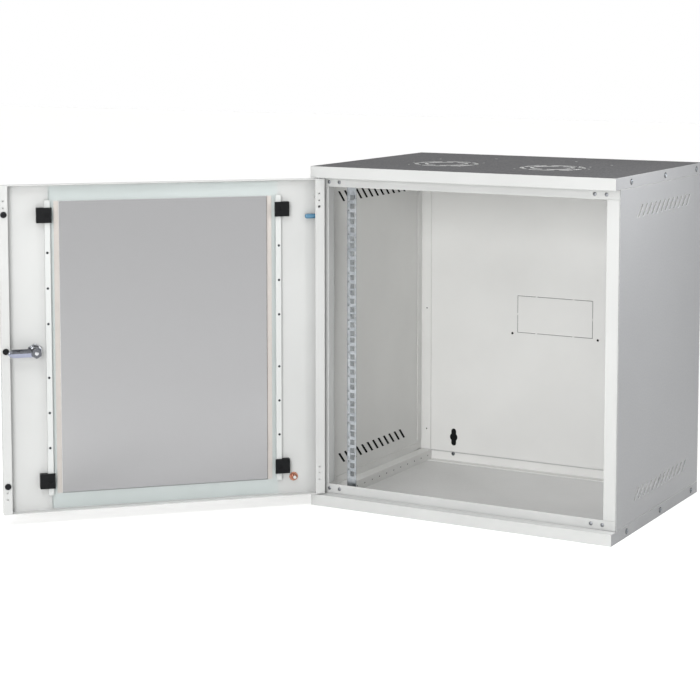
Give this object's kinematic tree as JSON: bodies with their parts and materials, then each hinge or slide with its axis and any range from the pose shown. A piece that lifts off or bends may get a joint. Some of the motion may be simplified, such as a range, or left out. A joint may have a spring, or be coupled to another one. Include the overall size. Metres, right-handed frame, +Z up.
{
  "type": "network cabinet",
  "caption": "Wall-mount 19-inch network cabinet: folded steel frame, slotted sides, keyhole back, mounting profiles and a glazed hinged door with a cam lock",
  "frame": {"origin": "centre of the underside of the cabinet, without the open door", "axes": "+X to the right seen from the front, +Y towards the wall, +Z up"},
  "size_m": [1.0101, 0.8634, 0.638],
  "materials": {
    "grey_paint": "fine satin powder coat",
    "top_paint": "fine satin powder coat",
    "zinc_plate": "bright zinc plating",
    "lock_chrome": "polished plating",
    "copper_plate": "copper plating",
    "safety_glass": "polished, grey tint",
    "foam_tape": "soft foam",
    "white_paint": "satin powder coat",
    "black_plastic": "moulded, fine texture",
    "bumper_rubber": "moulded rubber",
    "blue_plastic": "dipped sleeve"
  },
  "bodies": {
    "cabinet": {"bottom_cover": "grey_paint", "cover_screw_bottom_left_front": "zinc_plate", "cover_screw_bottom_left_middle": "zinc_plate", "cover_screw_bottom_left_rear": "zinc_plate", "cover_screw_bottom_right_front": "zinc_plate", "cover_screw_bottom_right_middle": "zinc_plate", "cover_screw_bottom_right_rear": "zinc_plate", "cover_screw_top_left_front": "zinc_plate", "cover_screw_top_left_middle": "zinc_plate", "cover_screw_top_left_rear": "zinc_plate", "cover_screw_top_right_front": "zinc_plate", "cover_screw_top_right_middle": "zinc_plate", "cover_screw_top_right_rear": "zinc_plate", "frame_rivet_bottom_left_inner": "zinc_plate", "frame_rivet_bottom_left_outer": "zinc_plate", "frame_rivet_bottom_right_inner": "zinc_plate", "frame_rivet_bottom_right_outer": "zinc_plate", "frame_rivet_top_left_inner": "zinc_plate", "frame_rivet_top_left_outer": "zinc_plate", "frame_rivet_top_right_inner": "zinc_plate", "frame_rivet_top_right_outer": "zinc_plate", "front_post_left": "grey_paint", "front_post_right": "grey_paint", "front_rail_bottom": "grey_paint", "front_rail_top": "grey_paint", "rack_profile_left": "zinc_plate", "rack_profile_right": "zinc_plate", "rear_panel": "grey_paint", "rear_post_left": "grey_paint", "rear_post_right": "grey_paint", "rear_rail_bottom": "grey_paint", "side_panel_left": "grey_paint", "side_panel_right": "grey_paint", "side_rail_bottom_left": "grey_paint", "side_rail_bottom_right": "grey_paint", "side_rail_top_left": "grey_paint", "side_rail_top_right": "grey_paint", "top_cover": "top_paint"},
    "door": {"door_bumper_lower": "bumper_rubber", "door_bumper_middle": "bumper_rubber", "door_bumper_upper": "bumper_rubber", "door_frame": "grey_paint", "earth_nut": "copper_plate", "glass_clamp_hinge_lower": "black_plastic", "glass_clamp_hinge_upper": "black_plastic", "glass_clamp_lock_lower": "black_plastic", "glass_clamp_lock_upper": "black_plastic", "glass_pane": "safety_glass", "glazing_tape_hinge": "foam_tape", "glazing_tape_lock": "foam_tape", "hinge_pin_lower": "zinc_plate", "lock_fixing_nut": "lock_chrome", "lock_housing": "lock_chrome", "retainer_strip_hinge": "white_paint", "retainer_strip_lock": "white_paint"},
    "lock_cam_set": {"lock_cam": "lock_chrome", "lock_cam_nut": "lock_chrome", "lock_plug": "lock_chrome"},
    "hinge_pin": {"hinge_pin_grip": "blue_plastic", "hinge_pin_upper": "zinc_plate"}
  },
  "joints": [
    {"name": "door_hinge", "type": "hinge", "parent": "cabinet", "child": "door", "pos_m": [-0.2885, -0.2155, 0.319], "axis": [0, 0, 1], "range_deg": [-45, 134.8]},
    {"name": "lock_turn", "type": "hinge", "parent": "door", "child": "lock_cam_set", "pos_m": [-0.65878, -0.58838, 0.316], "axis": [0.7096, -0.7046, 0], "range_deg": [0, 90]},
    {"name": "hinge_pin_release", "type": "slide", "parent": "door", "child": "hinge_pin", "axis": [0, 0, -1], "range_m": [0, 0.007], "stiffness_N_per_m": 400, "springref_m": -0.01}
  ]
}
